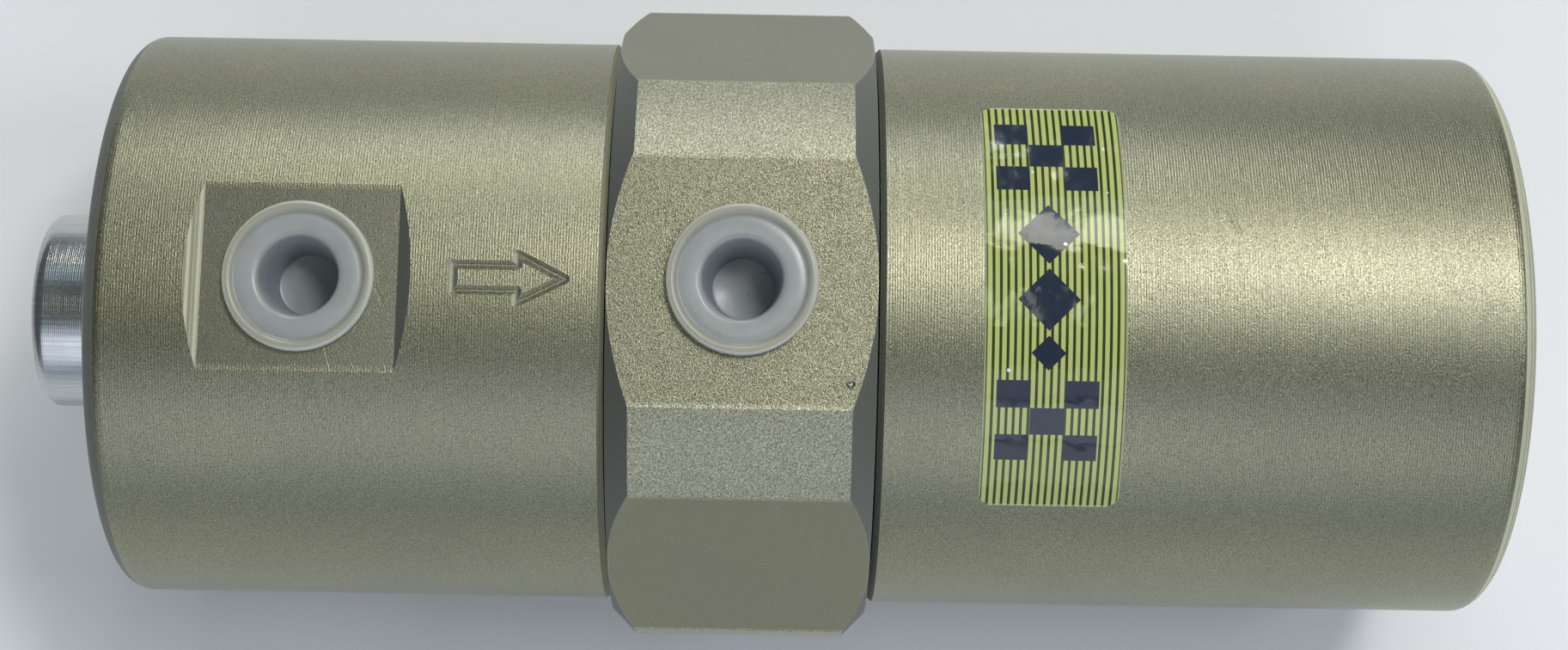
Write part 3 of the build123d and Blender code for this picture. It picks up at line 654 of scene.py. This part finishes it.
def beads_material(name, rgb, bead, metallic, rough, depth, contrast, randomness):
    """Packed beads or grains: each cell bulges and has its own tone, with painted shade in the gap
    round it.
    """
    made, graph, shader = start_material(name)
    place = graph.object_place()
    far, shade = graph.cells(place, 1.0 / bead, "F1", randomness)
    tint = graph.split(shade)[0]
    gap, _ = graph.cells(place, 1.0 / bead, "DISTANCE_TO_EDGE", randomness)
    tone = graph.blend(tint, colour(rgb, 1.0 - contrast), colour(rgb, 1.0 + contrast))
    # Painted shade: the gaps between the beads are darkened.
    tone = graph.blend(graph.remap(gap, 0.0, 0.13, 0.85, 0.0), tone, colour(rgb, 0.18))
    dust = graph.noise(place, 2.6 / bead, 2.0)
    dusty = graph.product(graph.maths("SUBTRACT", dust, 0.5), 0.25)
    settle(graph, shader, Base_Color=tone, Metallic=metallic, Roughness=graph.total(rough, dusty))
    rise = graph.maths("SUBTRACT", 0.8, graph.product(far, far))
    dome = graph.maths("SQRT", graph.maths("MAXIMUM", rise, 0.0))
    bump(graph, shader, graph.total(dome, graph.product(dust, 0.12)), depth)
    return made


def felt_material(looks):
    """Needled felt: crossing fibres, soft edges of tone."""
    made, graph, shader = start_material("filter_felt")
    x, y, z = graph.split(graph.object_place())
    layers = []
    for y_scale, z_scale in ((4200.0, 500.0), (480.0, 4200.0)):
        fibres_at = graph.vector(graph.product(x, 900.0), graph.product(y, y_scale),
                                 graph.product(z, z_scale))
        layers.append(graph.noise(fibres_at, 1.0, 3.0, 0.6, 1.6))
    fibres = graph.maths("MAXIMUM", *layers)
    tone = graph.blend(graph.remap(fibres, 0.4, 0.72), colour(looks.felt_colour, 0.7),
                       colour(looks.felt_colour, 1.05))
    settle(graph, shader, Base_Color=tone, Metallic=0.0, Sheen_Weight=0.25,
           Roughness=graph.remap(fibres, 0.4, 0.7, 0.98, 0.82))
    bump(graph, shader, fibres, 0.00022)
    return made


def wire_material():
    """Drawn spring wire with a thin oil film."""
    made, graph, shader = start_material("spring_steel")
    place = graph.group("Round the axis")
    lines_at = graph.vector(graph.product(place["Radius"], 5200.0),
                            graph.product(place["Angle"], 5.0),
                            graph.product(place["Along"], 5200.0))
    drawn = graph.noise(lines_at, 1.0, 2.0)
    hands = graph.group("Handling", Scale=150.0)
    tone = graph.blend(graph.remap(drawn, 0.3, 0.7), WIRE_DARK, WIRE_LIGHT)
    settle(graph, shader, Base_Color=tone, Metallic=1.0,
           Roughness=graph.remap(hands["Smudge"], 0.3, 0.7, 0.24, 0.4))
    bump(graph, shader, drawn, 0.00002)
    return made


def coat(node, material):
    """Gives a CAD node its finish; its shape stays as it is."""
    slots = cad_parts[node].material_slots
    if not slots:
        raise RuntimeError(f"{node} has no material slot")
    for slot in slots:
        slot.material = material


# ------------------------------------------------------------------ modelling helpers


def deselect_all():
    if bpy.context.object and bpy.context.object.mode != "OBJECT":
        bpy.ops.object.mode_set(mode="OBJECT")
    bpy.ops.object.select_all(action="DESELECT")


def turned_piece(name, outline, centre, steps):
    """A piece whose outline of (out, up) points in mm is drawn edge by edge and spun round Z."""
    deselect_all()
    place = outline[0]
    start = Vector(centre) + Vector((place[0] * MM, 0.0, place[1] * MM))
    bpy.ops.mesh.primitive_plane_add(size=MM, location=(0.0, 0.0, 0.0))
    piece = bpy.context.object
    piece.name = piece.data.name = name
    bpy.ops.object.mode_set(mode="EDIT")
    bpy.ops.mesh.select_all(action="SELECT")
    bpy.ops.mesh.merge(type="CENTER")
    bpy.ops.transform.translate(value=start)
    for out, up in outline[1:]:
        move = ((out - place[0]) * MM, 0.0, (up - place[1]) * MM)
        bpy.ops.mesh.extrude_vertices_move(TRANSFORM_OT_translate={"value": move})
        place = (out, up)
    bpy.ops.mesh.select_all(action="SELECT")
    bpy.ops.mesh.spin(steps=steps, angle=2 * math.pi, center=centre, axis=(0.0, 0.0, 1.0),
                      use_auto_merge=True)
    bpy.ops.mesh.select_all(action="SELECT")
    bpy.ops.mesh.remove_doubles(threshold=0.000002)
    bpy.ops.mesh.select_all(action="SELECT")
    bpy.ops.mesh.normals_make_consistent(inside=False)
    bpy.ops.object.mode_set(mode="OBJECT")
    bpy.ops.object.shade_smooth_by_angle(angle=math.radians(40))
    return piece


# ------------------------------------------------------------------ settings


class FilterLooks(bpy.types.PropertyGroup):
    """Sizes and colours that a user may change before making the looks."""

    anodised_colour: FloatVectorProperty(
        name="Anodised skin", description="Middle tone of the hard anodised shells",
        subtype="COLOR", size=3, min=0.0, max=1.0, default=(0.292, 0.286, 0.192))
    anodised_shade: FloatVectorProperty(
        name="Anodised shade", description="Cloudy darker tone of the anodised shells",
        subtype="COLOR", size=3, min=0.0, max=1.0, default=(0.215, 0.218, 0.172))
    # Pale tone for the nick, the scratches and the edges; on the edges it is partly a painted
    # highlight.
    worn_metal_and_edge_highlight: FloatVectorProperty(
        name="Worn metal and edge highlight", description="Tone where the anodised skin is thin", subtype="COLOR",
        size=3, min=0.0, max=1.0, default=(0.50, 0.49, 0.42))
    pocket_colour: FloatVectorProperty(
        name="Pocket", description="Duller tone of the milled face round the inlet port",
        subtype="COLOR", size=3, min=0.0, max=1.0, default=(0.165, 0.172, 0.160))
    bevel_colour: FloatVectorProperty(
        name="Bevels", description="Tone of the sloped edges and pocket walls", subtype="COLOR",
        size=3, min=0.0, max=1.0, default=(0.135, 0.150, 0.148))
    # A pale cut-metal tone put only on slopes facing +X: partly the cut metal, mostly a painted
    # highlight.
    cut_slope_highlight_colour: FloatVectorProperty(
        name="Cut slope highlight", description="Brighter tone of the cut slopes that face the outlet end",
        subtype="COLOR", size=3, min=0.0, max=1.0, default=(0.72, 0.72, 0.52))
    turning_pitch: FloatProperty(
        name="Turning pitch", description="Feed of the lathe marks", unit="LENGTH", min=0.00005,
        max=0.005, default=0.00037)
    grain_depth: FloatProperty(
        name="Grain depth", description="Depth of the blasted grain", unit="LENGTH", min=0.0,
        max=0.001, default=0.00013)
    label_colour: FloatVectorProperty(
        name="Label", description="Ground colour of the label film", subtype="COLOR", size=3,
        min=0.0, max=1.0, default=(0.50, 0.56, 0.19))
    label_edge_colour: FloatVectorProperty(
        name="Label edge", description="Cut edge of the label film", subtype="COLOR", size=3,
        min=0.0, max=1.0, default=(0.62, 0.65, 0.42))
    stripe_colour: FloatVectorProperty(
        name="Label stripes", description="Colour of the fine stripes", subtype="COLOR", size=3,
        min=0.0, max=1.0, default=(0.035, 0.05, 0.012))
    ink_colour: FloatVectorProperty(
        name="Label print", description="Colour of the chequer and the diamonds", subtype="COLOR",
        size=3, min=0.0, max=1.0, default=(0.022, 0.032, 0.052))
    stripe_pitch: FloatProperty(
        name="Stripe pitch (mm)", description="From one label stripe to the next, in millimetres",
        min=0.2, max=5.0, default=0.963)
    cap_colour: FloatVectorProperty(
        name="Port caps", description="Tint of the milky port caps", subtype="COLOR", size=3,
        min=0.0, max=1.0, default=(0.46, 0.49, 0.475))
    cap_rim_colour: FloatVectorProperty(
        name="Cap rim", description="The thin rim, which takes the tone of the metal under it",
        subtype="COLOR", size=3, min=0.0, max=1.0, default=(0.50, 0.50, 0.40))
    # Painted highlight along the outer edge of the cap's lip.
    cap_lip_highlight_colour: FloatVectorProperty(
        name="Cap lip highlight", description="Bright outer edge of the rim", subtype="COLOR", size=3,
        min=0.0, max=1.0, default=(0.90, 0.90, 0.82))
    # Painted shade down inside the cap's cup.
    cap_cup_shade_colour: FloatVectorProperty(
        name="Cap cup shade", description="Down inside the cup", subtype="COLOR", size=3, min=0.0,
        max=1.0, default=(0.35, 0.39, 0.42))
    cap_steps: IntProperty(
        name="Cap steps", description="Steps round each moulded cap", min=24, max=256,
        default=120)
    zinc_colour: FloatVectorProperty(
        name="Zinc plate", description="Tone of the drain plug", subtype="COLOR", size=3, min=0.0,
        max=1.0, default=(0.55, 0.575, 0.565))
    rubber_colour: FloatVectorProperty(
        name="Rubber", description="Tone of the seals", subtype="COLOR", size=3, min=0.0, max=1.0,
        default=(0.012, 0.012, 0.012))
    felt_colour: FloatVectorProperty(
        name="Felt", description="Tone of the felt pads", subtype="COLOR", size=3, min=0.0,
        max=1.0, default=(0.80, 0.79, 0.73))
    floor_colour: FloatVectorProperty(
        name="Floor", description="Pale floor", subtype="COLOR", size=3, min=0.0, max=1.0,
        default=(0.88, 0.89, 0.90))
    camera_lens: FloatProperty(
        name="Lens", description="Camera focal length", unit="CAMERA", min=10.0, max=300.0,
        default=59.565)


# ------------------------------------------------------------------ operators


class FILTER_OT_shells(bpy.types.Operator):
    """Give the hexagon, the inlet housing and the bowl their anodised finish"""

    bl_idname = "air_filter.shells"
    bl_label = "Anodised shells"

    def execute(self, context):
        looks = context.scene.filter_looks
        coat("hex_body", anodised_material(
            "anodised_hexagon", looks, "hexagon", grain_share=0.70, turning_share=0.20,
            speckle=1.4, rough=0.37, anisotropy=0.0))
        coat("inlet_housing", anodised_material(
            "anodised_housing", looks, "housing", grain_share=0.40, turning_share=0.20,
            speckle=0.85, rough=0.35, anisotropy=0.35))
        coat("filter_bowl", anodised_material(
            "anodised_bowl", looks, "bowl", grain_share=0.40, turning_share=0.27,
            speckle=0.85, rough=0.34, anisotropy=0.35))
        return {"FINISHED"}


class FILTER_OT_label(bpy.types.Operator):
    """Print the label film on the bowl"""

    bl_idname = "air_filter.label"
    bl_label = "Label"

    def execute(self, context):
        coat("label", label_material(context.scene.filter_looks))
        return {"FINISHED"}


class FILTER_OT_port_caps(bpy.types.Operator):
    """Model the two moulded port caps and put them in their ports"""

    bl_idname = "air_filter.port_caps"
    bl_label = "Port caps"

    def execute(self, context):
        looks = context.scene.filter_looks
        rim_height = max(up for _, up in CAP_OUTLINE) * MM
        for name, node, body, low, high in (
                ("inlet_cap_moulding", "inlet_port_cap", "inlet_cap", INLET_CAP_LOW,
                 INLET_CAP_HIGH),
                ("outlet_cap_moulding", "outlet_port_cap", "outlet_cap", OUTLET_CAP_LOW,
                 OUTLET_CAP_HIGH)):
            centre = ((low.x + high.x) / 2, (low.y + high.y) / 2,
                      high.z - rim_height - CAP_CLEARANCE)
            cap = turned_piece(name, CAP_OUTLINE, centre, looks.cap_steps)
            cap.data.materials.append(cap_material(
                name.replace("moulding", "polyethylene"), looks, centre[0], centre[2]))
            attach(cap, body)
            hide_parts(node)
        return {"FINISHED"}


class FILTER_OT_drain(bpy.types.Operator):
    """Finish the drain plug and its bonded washer"""

    bl_idname = "air_filter.drain"
    bl_label = "Drain plug"

    def execute(self, context):
        looks = context.scene.filter_looks
        coat("drain_plug", zinc_material("zinc_plug", looks, rough=0.24))
        coat("drain_seal_ring", zinc_material("zinc_washer", looks, rough=0.36))
        return {"FINISHED"}


class FILTER_OT_seals(bpy.types.Operator):
    """Finish the O-rings, the backup rings and the gaskets"""

    bl_idname = "air_filter.seals"
    bl_label = "Seals"

    def execute(self, context):
        looks = context.scene.filter_looks
        rubber = rubber_material(looks)
        for node in ("housing_o_ring", "bowl_o_ring", "cartridge_o_ring", "drain_seal_lip"):
            coat(node, rubber)
        white = plastic_material("backup_ring_plastic", (0.84, 0.83, 0.78), rough=0.42)
        for node in ("housing_backup_ring", "bowl_backup_ring"):
            coat(node, white)
        fibre = plastic_material("gasket_fibre", (0.28, 0.34, 0.23), rough=0.72, depth=0.00008)
        for node in ("separator_gasket", "separator_cap_gasket"):
            coat(node, fibre)
        return {"FINISHED"}


class FILTER_OT_separator(bpy.types.Operator):
    """Finish the separator stack and the baffle"""

    bl_idname = "air_filter.separator"
    bl_label = "Separator"

    def execute(self, context):
        brass = turned_metal_material("turned_brass", (0.78, 0.60, 0.28), rough=0.26)
        coat("separator_tube", brass)
        coat("separator_nut", brass)
        coat("separator_element", beads_material(
            "sintered_bronze", (0.56, 0.38, 0.21), bead=0.00055, metallic=1.0, rough=0.42,
            depth=0.00035, contrast=0.35, randomness=1.0))
        coat("separator_end_cap", turned_metal_material(
            "turned_aluminium", (0.76, 0.77, 0.78), rough=0.3))
        coat("condensate_baffle", sheet_material())
        return {"FINISHED"}


class FILTER_OT_cartridge(bpy.types.Operator):
    """Finish the cartridge, its beds, felts, screens, spring and seat"""

    bl_idname = "air_filter.cartridge"
    bl_label = "Cartridge"

    def execute(self, context):
        looks = context.scene.filter_looks
        aluminium = bpy.data.materials["turned_aluminium"]
        steel = bpy.data.materials["stainless_sheet"]
        for node in ("cartridge_shell", "cartridge_inlet_cap", "cartridge_outlet_cap"):
            coat(node, aluminium)
        for node in ("cartridge_inlet_screen", "cartridge_outlet_screen", "spring_seat"):
            coat(node, steel)
        felt = felt_material(looks)
        for node in ("cartridge_inlet_felt", "cartridge_middle_felt", "cartridge_outlet_felt"):
            coat(node, felt)
        coat("drying_bed", beads_material(
            "molecular_sieve_beads", (0.74, 0.66, 0.53), bead=0.0018, metallic=0.0, rough=0.7,
            depth=0.0006, contrast=0.14, randomness=0.85))
        coat("carbon_bed", beads_material(
            "activated_carbon", (0.035, 0.035, 0.036), bead=0.0016, metallic=0.0, rough=0.55,
            depth=0.0006, contrast=0.5, randomness=1.0))
        coat("cartridge_spring", wire_material())
        return {"FINISHED"}


# Soft boxes, all hung LIGHT_REACH from LIGHT_MIDDLE: name, lean towards +Y and +X (degrees),
# width and height (m), power (W), colour.
LIGHT_MIDDLE = (0.0, 0.0, 0.06)
LIGHT_REACH = 1.2
SOFT_BOXES = [
    ("light_far_low", 78, -4, (0.3, 0.2), 0.18, (0.80, 0.88, 1.0)),
    ("light_far_middle", 68, -4, (0.3, 0.2), 1.65, (0.76, 0.83, 1.0)),
    ("light_far_high", 56, -4, (0.3, 0.2), 2.0, (1.0, 0.98, 0.85)),
    ("light_far_top", 38, 0, (0.7, 0.3), 0.85, (0.66, 0.86, 1.0)),
    ("light_right_far", 30, 14, (0.25, 0.25), 1.30, (1.0, 0.96, 0.82)),
    ("light_right_key", 16, 20, (0.25, 0.25), 4.80, (1.0, 0.97, 0.98)),
    ("light_right", 0, 38, (0.3, 0.3), 2.0, (0.80, 0.89, 1.0)),
    ("light_top", 0, 0, (0.3, 0.3), 0.72, (0.92, 1.0, 0.78)),
    ("light_near_top", -30, 0, (0.8, 0.25), 0.48, (0.80, 0.86, 1.0)),
    ("light_near_high", -46, 0, (1.4, 0.35), 2.20, (0.80, 0.86, 1.0)),
    ("light_near_middle", -64, 0, (1.6, 0.35), 2.05, (0.88, 0.92, 1.0)),
    ("light_near_low", -80, 0, (1.8, 0.35), 0.95, (0.62, 0.72, 1.0)),
]
WORLD_COLOUR = (0.86, 0.93, 1.0)
WORLD_STRENGTH = 0.11
FLOOR_SIZE = 6.0
CAMERA_PLACE = (0.00121, -0.04912, 0.41781)
CAMERA_TURN = (10.176, -0.476, 0.943)
CAMERA_SHIFT = (0.00065, -0.0809)


def floor_material(looks):
    """Pale matt card with a faint tooth."""
    made, graph, shader = start_material("pale_floor")
    place = graph.object_place()
    tooth = graph.noise(place, 420.0, 3.0)
    drift = graph.noise(place, 3.0, 2.0)
    tone = graph.blend(graph.remap(drift, 0.3, 0.7), colour(looks.floor_colour, 0.985),
                       colour(looks.floor_colour))
    settle(graph, shader, Base_Color=tone, Roughness=0.85, Specular_IOR_Level=0.2)
    bump(graph, shader, tooth, 0.00005)
    return made


class FILTER_OT_stage(bpy.types.Operator):
    """Lay the floor, set the lights and place the camera"""

    bl_idname = "air_filter.stage"
    bl_label = "Stage"

    def execute(self, context):
        looks = context.scene.filter_looks
        deselect_all()
        bpy.ops.mesh.primitive_plane_add(size=FLOOR_SIZE, location=(0.0, 0.0, 0.0))
        floor = context.object
        floor.name = "pale_floor"
        floor.data.materials.append(floor_material(looks))
        world = bpy.data.worlds.new("soft_room")
        world.use_nodes = True
        sky = next(node for node in world.node_tree.nodes if node.type == "BACKGROUND")
        sky.inputs["Color"].default_value = (*WORLD_COLOUR, 1.0)
        sky.inputs["Strength"].default_value = WORLD_STRENGTH
        context.scene.world = world
        for name, lean_y, lean_x, (width, height), power, tint in SOFT_BOXES:
            lean_y, lean_x = math.radians(lean_y), math.radians(lean_x)
            away = Vector((math.sin(lean_x) * math.cos(lean_y), math.sin(lean_y),
                           math.cos(lean_x) * math.cos(lean_y)))
            turn = (-away).to_track_quat("-Z", "Y").to_euler()
            deselect_all()
            place = Vector(LIGHT_MIDDLE) + away * LIGHT_REACH
            bpy.ops.object.light_add(type="AREA", location=place, rotation=turn)
            lamp = context.object
            lamp.name = name
            lamp.data.shape = "RECTANGLE"
            lamp.data.size, lamp.data.size_y = width, height
            lamp.data.energy = power
            lamp.data.color = tint
            lamp.visible_camera = False
        deselect_all()
        bpy.ops.object.camera_add(location=CAMERA_PLACE,
                                  rotation=[math.radians(turn) for turn in CAMERA_TURN])
        camera = context.object
        camera.name = "camera"
        camera.data.sensor_width = 36.0
        camera.data.lens = looks.camera_lens
        camera.data.shift_x, camera.data.shift_y = CAMERA_SHIFT
        camera.data.clip_start = 0.01
        context.scene.camera = camera
        context.scene.view_settings.view_transform = "Standard"
        return {"FINISHED"}


class FILTER_PT_looks(bpy.types.Panel):
    """The filter's looks, one button for each group of pieces"""

    bl_label = "Air Filter Looks"
    bl_idname = "FILTER_PT_looks"
    bl_space_type = "VIEW_3D"
    bl_region_type = "UI"
    bl_category = "Air Filter"

    def draw(self, context):
        looks = context.scene.filter_looks
        for key in FilterLooks.__annotations__:
            self.layout.prop(looks, key)
        for step in STEPS:
            self.layout.operator(step.bl_idname)


STEPS = (FILTER_OT_shells, FILTER_OT_label, FILTER_OT_port_caps, FILTER_OT_drain, FILTER_OT_seals,
         FILTER_OT_separator, FILTER_OT_cartridge, FILTER_OT_stage)
CLASSES = (FilterLooks, *STEPS, FILTER_PT_looks)


def register():
    for item in CLASSES:
        bpy.utils.register_class(item)
    bpy.types.Scene.filter_looks = PointerProperty(type=FilterLooks)


def unregister():
    del bpy.types.Scene.filter_looks
    for item in reversed(CLASSES):
        bpy.utils.unregister_class(item)


def main():
    register()
    build_shared_effects()
    bpy.ops.air_filter.shells()
    bpy.ops.air_filter.label()
    bpy.ops.air_filter.port_caps()
    bpy.ops.air_filter.drain()
    bpy.ops.air_filter.seals()
    bpy.ops.air_filter.separator()
    bpy.ops.air_filter.cartridge()
    bpy.ops.air_filter.stage()


if __name__ == "__main__":
    main()
